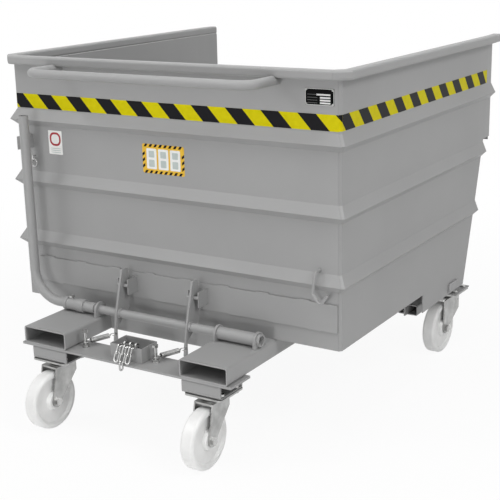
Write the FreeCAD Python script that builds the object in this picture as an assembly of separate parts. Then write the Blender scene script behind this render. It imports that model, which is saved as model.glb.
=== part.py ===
# Tipping skip trolley: a sheet-steel hopper on a wheeled frame with fork pockets,
# held shut by a sprung release bar and tipped forward about two front pivots.
# Millimetres, +Z up, floor at Z 0. The handle wall faces -Y and the hopper tips towards +Y.
# Shapes are drawn with Y 0 on the outer face of the handle wall and moved to the middle at the end.
import FreeCAD, Part
import math
import os

V = FreeCAD.Vector
X_AXIS = V(1, 0, 0)
Y_AXIS = V(0, 1, 0)
Z_AXIS = V(0, 0, 1)

# General clearances
overrun = 20.0            # how far every cutter passes the faces it cuts
running_gap = 0.3         # between parts that move past each other
fit_gap = 0.05            # radial clearance of a shaft in its bore

# Hopper sheet
hopper_width = 1300.0
hopper_height = 848.0     # from the deck to the underside of the rim
sheet = 4.0
fold_one_depth = 1150.0   # handle wall to the first inward fold of the side walls
corner_bend = 8.0         # slant where the handle wall turns into a side wall
fold_two_run = 85.0       # first fold to the second
front_run = 57.0          # second fold to the front edge
fold_two_inset = 2.0
front_inset = 6.0
front_foot_back = 230.0   # foot of the front wall, behind the side walls' front edge
front_top_back = 77.0     # top of its slope, behind the same edge
lip_height = 478.0        # chute lip above the deck
lip_hem = 14.0
skirt_back = 355.0        # side walls reach below the deck from here, behind the pivots
skirt_drop = 68.0

# Pressed ribs; the shares are of the hopper's height
rib_count = 3
rib_lowest_share = 0.2512
rib_pitch_share = 0.2594
rib_depth = 20.0
rib_rise = 36.0           # ridge to the upper edge
rib_fall = 20.0           # ridge to the lower edge

# Rim tube
rim_width = 38.0
rim_height = 30.0
rim_corner = 8.0
rim_bend = 25.0           # slant of the rim's own corners, wider than the walls'
rim_wall = 2.5
gusset_leg = 78.0         # plates in the rim's rear corners
gusset_thickness = 6.0
gusset_drop = 10.0        # below the rim's top

# Wheels and casters
wheel_diameter = 200.0
wheel_width = 50.0
tread_flat = 28.0
tread_shoulder = 12.0
hub_width = 58.0
hub_diameter = 60.0
web_width = 34.0
web_margin = 4.0          # flat ring between the tread's shoulder and the hollow of the side
caster_room = 40.0        # caster height beyond the wheel's own
caster_trail = 65.0
caster_plate_x = 140.0
caster_plate_y = 134.0
caster_plate_thickness = 6.0
caster_plate_corner = 12.0
caster_bolt_diameter = 10.0
caster_bolt_head = 17.0
caster_bolt_head_height = 6.5
caster_nut_height = 8.0
caster_bolt_edge = 14.0
caster_bolt_inset = 26.0    # from the plate's front and back edges
head_diameter = 84.0
head_height = 16.0
crown_diameter = 84.0
crown_thickness = 6.0
king_pin_diameter = 18.0
king_nut_diameter = 30.0
king_nut_height = 9.0
fork_thickness = 5.0
fork_front_reach = 34.0
fork_back_reach = 60.0
fork_shoulder = 26.0       # straight part of a leg below the crown
braked_front_reach = 55.0
braked_back_reach = 84.0
braked_shoulder = 58.0
fork_foot_radius = 21.0
hub_side_gap = 1.5
axle_diameter = 16.0
axle_head_diameter = 24.0
axle_head_height = 9.0
head_edge = 3.5
tread_bulge_shares = (0.25, 0.3)

# Brake pedals of the front casters
pedal_width = 40.0
pedal_thickness = 4.0
pedal_pivot_ahead = 45.0
pedal_pivot_drop = 50.0
pedal_pivot_diameter = 8.0
pedal_eye_radius = 7.0
pedal_knee_ahead = 70.0
pedal_knee_rise = 6.0
pedal_reach = 186.0
pedal_end_rise = 5.0
pedal_tread_count = 6
pedal_tread_width = 7.0
pedal_tread_height = 2.0

# Caster places and resting directions; width shares are of half the hopper's width
rear_caster_share = 0.4862
rear_caster_y = -223.0
front_caster_inset = 87.0
front_caster_ahead = 81.0   # of the pivots
rear_right_yaw = 0.0
rear_left_yaw = -3.0
front_right_yaw = -1.5
front_left_yaw = 1.5

# Base frame
pocket_width = 180.0
pocket_height = 60.0
pocket_wall = 5.0
pocket_corner = 9.0
pocket_centre_share = 0.4954
pocket_overhang = 290.0   # behind the handle wall
pocket_front_back = 15.0  # front ends behind the pivots
plate_thickness = 8.0
rear_plate_share = 0.6523
rear_plate_back = 290.0
rear_plate_front = 178.0
spacer_share = 0.4765
spacer_height = 45.0
spacer_length = 146.0
spacer_depth = 126.0
spacer_wall = 5.0
spacer_corner = 8.0
rear_beam_depth = 50.0
rear_beam_face = 47.0     # beam face behind the handle wall
rear_beam_wall = 4.0
front_beam_width = 78.0
front_beam_height = 40.0
front_beam_corner = 6.0
front_beam_wall = 4.0
front_beam_length = 440.0
front_beam_ahead = 150.0  # of the pivots
beam_web_thickness = 5.0
beam_web_length = 90.0
beam_web_stand = 30.0     # how far the web shows behind the beam
seat_margin = 2.0
front_plate_inset = 6.0
front_plate_depth = 170.0
front_plate_ahead = 30.0  # of the pivots

# Front pivots
pivot_back = 62.0         # behind the foot of the front wall
pivot_drop = 30.0
pivot_diameter = 24.0
pivot_bracket_thickness = 12.0
pivot_bracket_radius = 27.0
pivot_bracket_back = 48.0
pivot_head_diameter = 34.0
pivot_head_height = 5.0
skirt_bar_back = 115.0    # behind the pivots
skirt_bar_length = 103.0
skirt_bar_slant = 23.0
skirt_bar_height = 33.0
skirt_bar_margin = 8.0    # above the skirt's lower edge
skirt_bar_thickness = 6.0

# Release shaft and its bearings
shaft_y = -88.0
shaft_rise = 24.0
shaft_diameter = 30.0
shaft_wall = 4.0
bearing_thickness = 8.0
bearing_width = 58.0
bearing_top = 27.0
bearing_shares = (-0.3754, 0.3846, 0.6154)   # left, inner right and outer right
sleeve_diameter = 42.0
sleeve_tail = 9.0         # beyond the outer bearing
shaft_recess = 6.0        # shaft end inside the sleeve's
collar_diameter = 36.0
collar_width = 8.0

# Release lever
lever_share = -0.8231
lever_diameter = 34.0
lever_wall = 3.0
lever_top_share = 0.8043  # of the hopper's height
lever_bend = 108.0
socket_diameter = 42.0
socket_shares = (-0.6077, -0.4738)   # left and right end
socket_flange_diameter = 47.0
socket_flange_width = 13.0
socket_block_width = 32.0
neck_diameter = 37.0
neck_length = 46.0
socket_joint_share = -0.5415
socket_bolt_diameter = 10.0
socket_bolt_head = 17.0
socket_bolt_head_height = 7.0
socket_bolt_share = -0.5662

# Latch arms, pins and brackets
arm_shares = (-0.2431, 0.2077)
arm_thickness = 8.0
pin_ahead = 28.0          # latch pin from the shaft axis, towards the wall
pin_rise = 93.0
pin_diameter = 12.0
slot_gap = 1.5
slot_sweep = 60.0         # degrees of the slot about the shaft
arm_head_rise = 150.0
arm_head_front = 22.0
arm_head_back = 54.0
arm_waist_back = 52.0
arm_waist_rise = 8.0
arm_shaft_front = -21.0
arm_foot_drop = 96.0
arm_foot_front = -36.0
arm_foot_back = -20.0
arm_knee_drop = 46.0
arm_round = 6.0
arm_eye_drop = 66.0
arm_eye_diameter = 7.5
bracket_gap = 14.0        # arm face to bracket cheek
bracket_thickness = 5.0
bracket_reach = 56.0      # cheek in front of the doubler
bracket_height = 54.0
bracket_below_pin = 33.0
doubler_thickness = 6.0
doubler_bottom = 60.0
doubler_height = 92.0
doubler_shares = (-0.9015, 0.985)

# Extension springs and their posts
spring_diameter = 18.0
spring_wire = 3.0
spring_turn_gap = 0.5
spring_turns = 20
spring_loop_radius = 10.5
spring_loop_opening = 40.0  # degrees each side of the spring's axis
spring_neck = 3.0
spring_seat = 0.3
post_offset_share = -0.06
post_offset_y = -112.0
post_diameter = 10.0
post_height = 60.0
post_nut = 19.0
post_nut_height = 8.0
post_washer = 24.0
post_washer_height = 2.5

# Chain box and safety chain
chain_box_x = 2.0
chain_box_length = 128.0
chain_box_back = 262.0
chain_box_depth = 84.0
chain_box_height = 50.0
chain_box_wall = 3.0
link_wire = 6.0
link_inner_length = 26.0
link_inner_width = 10.0
link_seat = 0.3
chain_slope = 29.0        # degrees from upright over the plate's edge
chain_rise_slope = 45.0
chain_rise_share = 0.75
chain_strand_gap = 23.0
chain_first_x = -12.0
chain_crest_out = 2.0     # middle of the topmost links, outward of the box's wall

# Push handle
handle_half_share = 0.6677
handle_drop = 8.0         # middle of the tube below the rim's underside
handle_reach = 165.0
handle_diameter = 30.0
handle_wall = 2.5
handle_bend = 48.0

# Small hopper fittings
type_plate_width = 97.0
type_plate_height = 50.0
type_plate_thickness = 1.5
type_plate_share = 0.89
type_plate_drop = 53.0    # middle below the rim
rivet_diameter = 7.0
rivet_height = 1.6
rivet_inset = 3.5
keeper_share = -0.8892
keeper_height_share = 0.6816
keeper_height = 46.0
keeper_thickness = 5.0
keeper_reach = 54.0
keeper_foot = 44.0
keeper_curl = 14.0
ring_eye_share = -0.8831
ring_eye_height_share = 0.6085
ring_diameter = 30.0
ring_wire = 4.0
ring_eye_reach = 13.0
hook_share = 0.8877
hook_wire = 10.0
hook_bend = 9.0
hook_top_share = 0.3042
hook_stand = 31.0
hook_shares = ((0.0, 0.0), (-0.11, -0.68), (0.16, -1.0), (0.4, -0.66))
hook_drop = 104.0

# Places worked out from the sizes above
half_width = hopper_width / 2
fold_two_depth = fold_one_depth + fold_two_run
side_depth = fold_two_depth + front_run
front_foot_depth = side_depth - front_foot_back
front_top_depth = side_depth - front_top_back
pivot_y = front_foot_depth - pivot_back
skirt_start = pivot_y - skirt_back
rib_lowest = hopper_height * rib_lowest_share
rib_pitch = hopper_height * rib_pitch_share
caster_height = wheel_diameter + caster_room
rear_caster_x = half_width * rear_caster_share
front_caster_x = half_width - front_caster_inset
front_caster_y = pivot_y + front_caster_ahead
pocket_centre_x = half_width * pocket_centre_share
pocket_front = pivot_y - pocket_front_back
rear_plate_half = half_width * rear_plate_share
spacer_x = half_width * spacer_share
front_beam_front = pivot_y + front_beam_ahead
front_beam_back = front_beam_front - front_beam_length
front_plate_half = half_width - front_plate_inset
front_plate_front = pivot_y + front_plate_ahead
front_plate_back = front_plate_front - front_plate_depth
bearing_left_x, bearing_inner_x, bearing_outer_x = [half_width * share for share in bearing_shares]
sleeve_end = bearing_outer_x + bearing_thickness / 2 + sleeve_tail
shaft_right = sleeve_end - shaft_recess
lever_x = half_width * lever_share
lever_top = hopper_height * lever_top_share
socket_left, socket_right = [half_width * share for share in socket_shares]
socket_joint_x = half_width * socket_joint_share
socket_bolt_x = half_width * socket_bolt_share
arm_left_x, arm_right_x = [half_width * share for share in arm_shares]
doubler_left, doubler_right = [half_width * share for share in doubler_shares]
spring_pitch = spring_wire + spring_turn_gap
post_offset_x = half_width * post_offset_share
handle_half = half_width * handle_half_share
type_plate_x = half_width * type_plate_share
type_plate_z = hopper_height - type_plate_drop
keeper_x = half_width * keeper_share
keeper_z = hopper_height * keeper_height_share
ring_eye_x = half_width * ring_eye_share
ring_eye_z = hopper_height * ring_eye_height_share
hook_x = half_width * hook_share
hook_top = hopper_height * hook_top_share
deck = caster_height + spacer_height + plate_thickness + pocket_height
rim_bottom = deck + hopper_height
lip_z = deck + lip_height
skirt_bottom = deck - skirt_drop
plate_top = deck - pocket_height
shaft_z = deck + shaft_rise
shaft_radius = shaft_diameter / 2
pivot_z = deck - pivot_drop
pin_y = shaft_y + pin_ahead
pin_z = shaft_z + pin_rise
eye_y = shaft_y + (arm_foot_front + arm_foot_back) / 2
eye_z = shaft_z - arm_eye_drop
wheel_radius = wheel_diameter / 2
axle_radius = axle_diameter / 2
fork_inner = hub_width / 2 + hub_side_gap
rear_extreme = rear_caster_y - caster_trail - wheel_radius
y_shift = -(side_depth + rear_extreme) / 2
arm_places = {"left": arm_left_x, "right": arm_right_x}
casters = {
    "rear_left": (-rear_caster_x, rear_caster_y, rear_left_yaw, False),
    "rear_right": (rear_caster_x, rear_caster_y, rear_right_yaw, False),
    "front_left": (-front_caster_x, front_caster_y, front_left_yaw, True),
    "front_right": (front_caster_x, front_caster_y, front_right_yaw, True),
}


def put(name, *shapes):
    shape = shapes[0] if len(shapes) == 1 else Part.makeCompound(list(shapes))
    moved = shape.translated(V(0, y_shift, 0))
    moved.exportStep("parts/" + name + ".step")
    print(name, len(moved.Solids), "solid", round(moved.Volume / 1000.0, 1), "cm3", moved.isValid())


def box(x0, x1, y0, y1, z0, z1):
    return Part.makeBox(x1 - x0, y1 - y0, z1 - z0, V(x0, y0, z0))


def rod(radius, start, end):
    return Part.makeCylinder(radius, (end - start).Length, start, end - start)


def pipe(outer, inner, start, end):
    return rod(outer, start, end).cut(rod(inner, start, end))


def polygon(points):
    return Part.Face(Part.makePolygon(list(points) + [points[0]]))


def prism_x(outline, x0, x1):
    return polygon([V(x0, y, z) for y, z in outline]).extrude(V(x1 - x0, 0, 0))


def prism_z(outline, z0, z1):
    return polygon([V(x, y, z0) for x, y in outline]).extrude(V(0, 0, z1 - z0))


def hexagon(across, base, direction):
    corner = across / math.sqrt(3)
    turns = [math.radians(60 * i) for i in range(6)]
    face = polygon([V(corner * math.cos(a), corner * math.sin(a), 0) for a in turns])
    solid = face.extrude(V(0, 0, direction.Length))
    solid.Placement = FreeCAD.Placement(base, FreeCAD.Rotation(Z_AXIS, direction))
    return solid


def rounded_frame(width, height, corner):
    # Closed wire of a rounded rectangle about the origin, in X and Z
    w = width / 2
    h = height / 2
    d = corner * math.sqrt(0.5)
    edges = []
    for sx, sz in ((1, 1), (-1, 1), (-1, -1), (1, -1)):
        centre = V(sx * (w - corner), 0, sz * (h - corner))
        side = centre + V(sx * corner, 0, 0)
        end = centre + V(0, 0, sz * corner)
        arc = Part.Arc(side, centre + V(sx * d, 0, sz * d), end)
        edges.append((arc.toShape(), side, end))
    tops = [(edges[0][2], edges[1][2]), (edges[1][1], edges[2][1]),
            (edges[2][2], edges[3][2]), (edges[3][1], edges[0][1])]
    lines = [Part.LineSegment(a, b).toShape() for a, b in tops]
    return Part.Wire(Part.__sortEdges__([e[0] for e in edges] + lines))


def rounded_tube(width, height, corner, wall):
    outer = rounded_frame(width, height, corner)
    inner = rounded_frame(width - 2 * wall, height - 2 * wall, corner - wall)
    return Part.Face(outer).cut(Part.Face(inner))


def bent_path(points, bend):
    # Straight runs joined by tangent arcs of one radius
    edges = []
    start = points[0]
    for before, corner, after in zip(points, points[1:], points[2:]):
        back = (before - corner).normalize()
        ahead = (after - corner).normalize()
        half = back.getAngle(ahead) / 2
        setback = bend / math.tan(half)
        middle = corner + (back + ahead).normalize() * (bend / math.sin(half) - bend)
        arc_start = corner + back * setback
        arc_end = corner + ahead * setback
        edges.append(Part.LineSegment(start, arc_start).toShape())
        edges.append(Part.Arc(arc_start, middle, arc_end).toShape())
        start = arc_end
    edges.append(Part.LineSegment(start, points[-1]).toShape())
    return Part.Wire(edges)


def bent_rod(points, radius, bend):
    path = bent_path(points, bend)
    ring = Part.Wire(Part.Circle(points[0], points[1] - points[0], radius).toShape())
    return path.makePipeShell([ring], True, False)


def bent_tube(points, radius, wall, bend):
    return bent_rod(points, radius, bend).cut(bent_rod(points, radius - wall, bend))


def rest_turn(shape, x, y, yaw):
    # A caster is drawn at the origin, trailing to -Y, then turned and set under its plate
    shape = shape.copy()
    shape.rotate(V(0, 0, 0), Z_AXIS, yaw)
    shape.translate(V(x, y, 0))
    return shape


# Hopper plan: from the left front edge round the handle wall to the right front edge
def hopper_plan(bend):
    right = [(half_width - bend, 0), (half_width, bend), (half_width, fold_one_depth),
             (half_width - fold_two_inset, fold_two_depth), (half_width - front_inset, side_depth)]
    left = [(-x, y) for x, y in reversed(right)]
    points = [V(x, y, 0) for x, y in left + right]
    normals = []
    for a, b in zip(points, points[1:]):
        run = (b - a).normalize()
        normals.append(V(run.y, -run.x, 0))
    mitres = [V(1 / normals[0].x, 0, 0)]
    for one, two in zip(normals, normals[1:]):
        mitres.append((one + two) * (1 / (1 + one.dot(two))))
    mitres.append(V(1 / normals[-1].x, 0, 0))
    return points, mitres


plan_points, plan_mitres = hopper_plan(corner_bend)
rim_points, rim_mitres = hopper_plan(rim_bend)
plan_last = len(plan_points) - 1
plan_rear_left = plan_last // 2
plan_rear_right = plan_rear_left + 1
# The corners of the handle wall keep the width of their slant over the ribs
plan_mitres[plan_rear_left - 1:plan_rear_left + 1] = [V(-1, -1, 0), V(-1, -1, 0)]
plan_mitres[plan_rear_right:plan_rear_right + 2] = [V(1, -1, 0), V(1, -1, 0)]


def plan_spot(index, outward, z):
    return plan_points[index] + plan_mitres[index] * outward + V(0, 0, z)


def rim_spot(index, outward):
    return rim_points[index] + rim_mitres[index] * outward


def wall_profile(bottom):
    outer = [(0, bottom)]
    for i in range(rib_count):
        ridge = deck + rib_lowest + i * rib_pitch
        outer += [(0, ridge - rib_fall), (rib_depth, ridge), (0, ridge + rib_rise)]
    outer.append((0, rim_bottom))
    inner = [(outward - sheet, z) for outward, z in reversed(outer)]
    return outer + inner


def swept_wall(first, last, bottom):
    profile = wall_profile(bottom)
    wires = []
    for index in range(first, last + 1):
        spots = [plan_spot(index, outward, z) for outward, z in profile]
        wires.append(Part.makePolygon(spots + [spots[0]]))
    return Part.makeLoft(wires, True, True)


def front_slope_y(z):
    share = (z - deck) / lip_height
    return front_foot_depth + (front_top_depth - front_foot_depth) * share


def side_wall(first, last):
    wall = swept_wall(first, last, skirt_bottom)
    reach = half_width + rib_depth + overrun
    low = skirt_bottom - overrun
    under = box(-reach, reach, -rib_depth - overrun, skirt_start, low, deck)
    front = prism_x([(front_slope_y(low), low), (front_top_depth, lip_z), (side_depth + overrun, lip_z),
                     (side_depth + overrun, low)], -reach, reach)
    return wall.cut(under).cut(front)


def inside_plan(z0, z1):
    spots = [plan_spot(i, -sheet, 0) for i in range(plan_last + 1)]
    return prism_z([(p.x, p.y) for p in spots], z0, z1)


def front_wall():
    end = side_depth - sheet
    outline = [(front_foot_depth, deck), (front_top_depth, lip_z), (end, lip_z),
               (end, lip_z - lip_hem), (side_depth, lip_z - lip_hem), (side_depth, lip_z + sheet),
               (front_top_depth - sheet, lip_z + sheet), (front_foot_depth - sheet, deck)]
    slope = prism_x(outline, -half_width, half_width)
    return slope.common(inside_plan(deck - overrun, lip_z + overrun))


def hopper_floor():
    behind_foot = box(-half_width, half_width, 0, front_foot_depth - sheet, deck, deck + sheet)
    return inside_plan(deck, deck + sheet).common(behind_foot)


def rim_bar(face, index):
    # One straight bar of the rim on the wall's top edge, mitred to its neighbours
    run = rim_points[index + 1] - rim_points[index]
    along = V(run.x, run.y, 0).normalize()
    outward = V(along.y, -along.x, 0)
    middle = outward * (rim_width / 2 - sheet) + V(0, 0, rim_bottom + rim_height / 2)
    bar = face.extrude(V(0, run.Length + 2 * rim_width, 0))
    start = rim_points[index] - along * rim_width + middle
    bar.Placement = FreeCAD.Placement(start, FreeCAD.Rotation(Y_AXIS, along))
    low = -sheet - rim_wall
    corners = [rim_spot(index, low), rim_spot(index, rim_width),
               rim_spot(index + 1, rim_width), rim_spot(index + 1, low)]
    top = rim_bottom + rim_height
    return bar.common(prism_z([(p.x, p.y) for p in corners], rim_bottom - overrun, top + overrun))


def rim_run(first, last):
    face = rounded_tube(rim_width, rim_height, rim_corner, rim_wall)
    bars = [rim_bar(face, index) for index in range(first, last)]
    return bars[0].multiFuse(bars[1:]) if len(bars) > 1 else bars[0]


def side_rim(first, last, front):
    # Side rim with a plate that closes its front end
    full = Part.Face(rounded_frame(rim_width, rim_height, rim_corner))
    reach = half_width + rim_width + overrun
    end = box(-reach, reach, side_depth - rim_wall, side_depth, rim_bottom, rim_bottom + rim_height)
    cap = rim_bar(full, front).common(end)
    return rim_run(first, last).fuse(cap).removeSplitter()


def rim_gusset(side):
    # Triangular plate between the inner faces of the rim's bars
    rear = rim_spot(plan_rear_right, -sheet)
    flank = rim_spot(plan_rear_right + 1, -sheet)
    outline = [(flank.x - gusset_leg, rear.y), (rear.x, rear.y), (flank.x, flank.y),
               (flank.x, rear.y + gusset_leg)]
    top = rim_bottom + rim_height - gusset_drop
    return prism_z([(side * x, y) for x, y in outline], top - gusset_thickness, top)


def push_handle():
    # Tube to the wall, notched at both ends where the rim passes over it
    z = rim_bottom - handle_drop
    points = [V(-handle_half, 0, z), V(-handle_half, -handle_reach, z),
              V(handle_half, -handle_reach, z), V(handle_half, 0, z)]
    tube = bent_tube(points, handle_diameter / 2, handle_wall, handle_bend)
    return tube.cut(box(-half_width, half_width, sheet - rim_width, 0, rim_bottom, rim_bottom + rim_height))


def doubler_plate():
    z = deck + doubler_bottom
    return box(doubler_left, doubler_right, -doubler_thickness, 0, z, z + doubler_height)


def type_plate():
    x = type_plate_x - type_plate_width / 2
    z = deck + type_plate_z - type_plate_height / 2
    return box(x, x + type_plate_width, -type_plate_thickness, 0, z, z + type_plate_height)


def type_plate_rivets():
    rivets = []
    for sx in (-1, 1):
        for sz in (-1, 1):
            x = type_plate_x + sx * (type_plate_width / 2 - rivet_inset)
            z = deck + type_plate_z + sz * (type_plate_height / 2 - rivet_inset)
            base = V(x, -type_plate_thickness, z)
            rivets.append(rod(rivet_diameter / 2, base, base - V(0, rivet_height, 0)))
    return rivets


def lever_keeper():
    # Flat bar on the handle wall that the lever lies beside; its free end curls away from the lever
    z = deck + keeper_z - keeper_height / 2
    inner = keeper_x
    outer = keeper_x - keeper_thickness
    outline = [(inner, 0), (inner, -keeper_reach), (inner - keeper_curl, -keeper_reach - keeper_curl),
               (outer - keeper_curl, -keeper_reach), (outer, -keeper_reach + keeper_thickness),
               (outer, -keeper_thickness), (outer - keeper_foot, -keeper_thickness), (outer - keeper_foot, 0)]
    return prism_z(outline, z, z + keeper_height)


def lock_ring():
    # Ring hanging in a welded wire eye
    z = deck + ring_eye_z
    half = ring_wire * 2
    reach = ring_eye_reach + ring_wire
    eye_points = [V(ring_eye_x, 0, z - half), V(ring_eye_x, -reach, z - half),
                  V(ring_eye_x, -reach, z + half), V(ring_eye_x, 0, z + half)]
    eye = bent_rod(eye_points, ring_wire / 2, ring_wire)
    radius = (ring_diameter - ring_wire) / 2
    hang = z - half + ring_wire + link_seat - radius
    ring = Part.makeTorus(radius, ring_wire / 2, V(ring_eye_x, -reach / 2, hang), Y_AXIS)
    return eye, ring


def chain_hook():
    # Round-bar hook standing over the lowest rib beside the right corner
    top = deck + hook_top
    points = [V(hook_x, 0, top)]
    points += [V(hook_x + hook_drop * sx, -hook_stand, top + hook_drop * sz) for sx, sz in hook_shares]
    return bent_rod(points, hook_wire / 2, hook_bend)


def bracket_half():
    return arm_thickness / 2 + bracket_gap + bracket_thickness


def latch_bracket(arm_x):
    # Channel on the doubler whose cheeks hold the pin on both sides of the arm
    half = bracket_half()
    room = half - bracket_thickness
    front = -bracket_reach - doubler_thickness
    z0 = pin_z - bracket_below_pin
    z1 = z0 + bracket_height
    block = box(arm_x - half, arm_x + half, front, -doubler_thickness, z0, z1)
    inside = box(arm_x - room, arm_x + room, front - overrun, -doubler_thickness - bracket_thickness,
                 z0 - overrun, z1 + overrun)
    bore = rod(pin_diameter / 2 + fit_gap, V(arm_x - half - overrun, pin_y, pin_z),
               V(arm_x + half + overrun, pin_y, pin_z))
    return block.cut(inside).cut(bore)


def latch_pin(arm_x):
    half = bracket_half()
    return rod(pin_diameter / 2, V(arm_x - half, pin_y, pin_z), V(arm_x + half, pin_y, pin_z))


def pivot_pin(side):
    # Stands on the side wall's inner face, with a head behind the frame's bracket
    outer = half_width - sheet
    inner = front_plate_half - pivot_bracket_thickness - running_gap
    shank = rod(pivot_diameter / 2, V(side * inner, pivot_y, pivot_z), V(side * outer, pivot_y, pivot_z))
    head = rod(pivot_head_diameter / 2, V(side * (inner - pivot_head_height), pivot_y, pivot_z),
               V(side * inner, pivot_y, pivot_z))
    return shank.fuse(head)


def skirt_bar(side):
    # Flat bar along the side wall's skirt, with a slanted front end
    x0 = side * half_width
    x1 = side * (half_width + skirt_bar_thickness)
    back = pivot_y - skirt_bar_back
    front = back + skirt_bar_length
    z0 = skirt_bottom + skirt_bar_margin
    z1 = z0 + skirt_bar_height
    outline = [(back, z0), (front, z0), (front - skirt_bar_slant, z1), (back, z1)]
    return prism_x(outline, min(x0, x1), max(x0, x1))


# Release bar
def release_shaft():
    start = V(socket_joint_x, shaft_y, shaft_z)
    end = V(shaft_right, shaft_y, shaft_z)
    return pipe(shaft_radius, shaft_radius - shaft_wall, start, end)


def release_lever():
    points = [V(lever_x, shaft_y, deck + lever_top), V(lever_x, shaft_y, shaft_z),
              V(socket_joint_x, shaft_y, shaft_z)]
    return bent_tube(points, lever_diameter / 2, lever_wall, lever_bend)


def lever_socket():
    # Clamp sleeve with a flange at the lever, a block at the shaft and a neck towards the bearing
    start = V(socket_left, shaft_y, shaft_z)
    middle = V(socket_joint_x, shaft_y, shaft_z)
    end = V(socket_right, shaft_y, shaft_z)
    tip = end + X_AXIS * neck_length
    flange = rod(socket_flange_diameter / 2, start, start + X_AXIS * socket_flange_width)
    block = rod(socket_flange_diameter / 2, end - X_AXIS * socket_block_width, end)
    neck = rod(neck_diameter / 2, end, tip)
    body = rod(socket_diameter / 2, start, end).fuse(flange).fuse(block).fuse(neck).removeSplitter()
    body = body.cut(rod(lever_diameter / 2 + fit_gap, start, middle))
    body = body.cut(rod(shaft_radius + fit_gap, middle, tip))
    top = V(socket_bolt_x, shaft_y, shaft_z + socket_diameter)
    return body.cut(rod(socket_bolt_diameter / 2 + fit_gap, V(socket_bolt_x, shaft_y, shaft_z), top))


def socket_bolt():
    seat = shaft_z + lever_diameter / 2 + fit_gap
    top = shaft_z + socket_diameter / 2 + socket_bolt_head_height / 2
    shank = rod(socket_bolt_diameter / 2, V(socket_bolt_x, shaft_y, seat), V(socket_bolt_x, shaft_y, top))
    head = hexagon(socket_bolt_head, V(socket_bolt_x, shaft_y, top), V(0, 0, socket_bolt_head_height))
    return shank.fuse(head)


def latch_arm(arm_x):
    x0 = arm_x - arm_thickness / 2
    x1 = arm_x + arm_thickness / 2
    outline = [(arm_head_front, arm_head_rise), (arm_head_back, arm_head_rise),
               (arm_waist_back, arm_waist_rise), (arm_foot_back, -arm_knee_drop),
               (arm_foot_back, -arm_foot_drop), (arm_foot_front, -arm_foot_drop), (arm_shaft_front, 0)]
    plate = prism_x([(shaft_y + y, shaft_z + z) for y, z in outline], x0, x1)
    upright = [e for e in plate.Edges if abs(e.Length - arm_thickness) < fit_gap]
    plate = plate.makeFillet(arm_round, upright)
    # The pin's slot follows the arm's own swing about the shaft
    swing = math.hypot(pin_ahead, pin_rise)
    half = pin_diameter / 2 + slot_gap
    low_turn = math.atan2(pin_rise, pin_ahead) - math.radians(slot_sweep)
    ray = V(0, math.cos(low_turn), math.sin(low_turn))
    axis = V(x0 - overrun, shaft_y, shaft_z)
    length = V(arm_thickness + 2 * overrun, 0, 0)
    near = axis + ray * (swing - half)
    far = axis + ray * (swing + half)
    sector = polygon([near, far, far + length, near + length]).revolve(axis, X_AXIS, slot_sweep)
    end_round = rod(half, V(x0 - overrun, pin_y, pin_z), V(x1 + overrun, pin_y, pin_z))
    bore = rod(shaft_radius + fit_gap, V(x0 - overrun, shaft_y, shaft_z), V(x1 + overrun, shaft_y, shaft_z))
    eye = rod(arm_eye_diameter / 2, V(x0 - overrun, eye_y, eye_z), V(x1 + overrun, eye_y, eye_z))
    return plate.cut(sector).cut(end_round).cut(bore).cut(eye)


def shaft_collar(arm_x):
    x = arm_x + arm_thickness / 2
    return pipe(collar_diameter / 2, shaft_radius + fit_gap, V(x, shaft_y, shaft_z),
                V(x + collar_width, shaft_y, shaft_z))


# Base frame
def fork_pocket(side):
    tube = rounded_tube(pocket_width, pocket_height, pocket_corner, pocket_wall)
    solid = tube.extrude(V(0, pocket_front + pocket_overhang, 0))
    solid.translate(V(side * pocket_centre_x, -pocket_overhang, deck - pocket_height / 2))
    return solid


def rear_cross_plate():
    return box(-rear_plate_half, rear_plate_half, -rear_plate_back, -rear_plate_front,
               plate_top - plate_thickness, plate_top)


def box_tube_x(half_length, centre_x, y0, y1, z0, z1, corner, wall):
    face = rounded_tube(y1 - y0, z1 - z0, corner, wall)
    solid = face.extrude(V(0, 2 * half_length, 0))
    solid.rotate(V(0, 0, 0), Z_AXIS, -90)
    solid.translate(V(centre_x - half_length, (y0 + y1) / 2, (z0 + z1) / 2))
    return solid


def rear_spacer(side):
    y = rear_caster_y - spacer_depth / 2
    tube = box_tube_x(spacer_length / 2, side * spacer_x, y, y + spacer_depth,
                      caster_height, caster_height + spacer_height, spacer_corner, spacer_wall)
    return bolt_holes(tube, side * rear_caster_x, rear_caster_y)


def rear_cross_beam():
    half = pocket_centre_x - pocket_width / 2
    return box_tube_x(half, 0, -rear_beam_face, rear_beam_depth - rear_beam_face,
                      plate_top, deck, spacer_corner, rear_beam_wall)


def front_cross_plate():
    return box(-front_plate_half, front_plate_half, front_plate_back, front_plate_front,
               plate_top - plate_thickness, plate_top)


def front_beam(side):
    face = rounded_tube(front_beam_width, front_beam_height, front_beam_corner, front_beam_wall)
    beam = face.extrude(V(0, front_beam_front - front_beam_back, 0))
    top = plate_top - plate_thickness
    beam.translate(V(side * front_caster_x, front_beam_back, top - front_beam_height / 2))
    return beam


def beam_web(side):
    # Stiffening plate standing in the beam's open rear end
    x = side * front_caster_x
    half = beam_web_thickness / 2
    y = front_beam_back - beam_web_stand
    top = plate_top - plate_thickness - front_beam_wall
    return box(x - half, x + half, y, y + beam_web_length, top - front_beam_height + 2 * front_beam_wall, top)


def caster_seat(side):
    x = side * front_caster_x
    half_x = caster_plate_x / 2 + seat_margin
    half_y = caster_plate_y / 2 + seat_margin
    seat = box(x - half_x, x + half_x, front_caster_y - half_y, front_caster_y + half_y,
               caster_height, plate_top - plate_thickness - front_beam_height)
    return bolt_holes(seat, x, front_caster_y)


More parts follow.
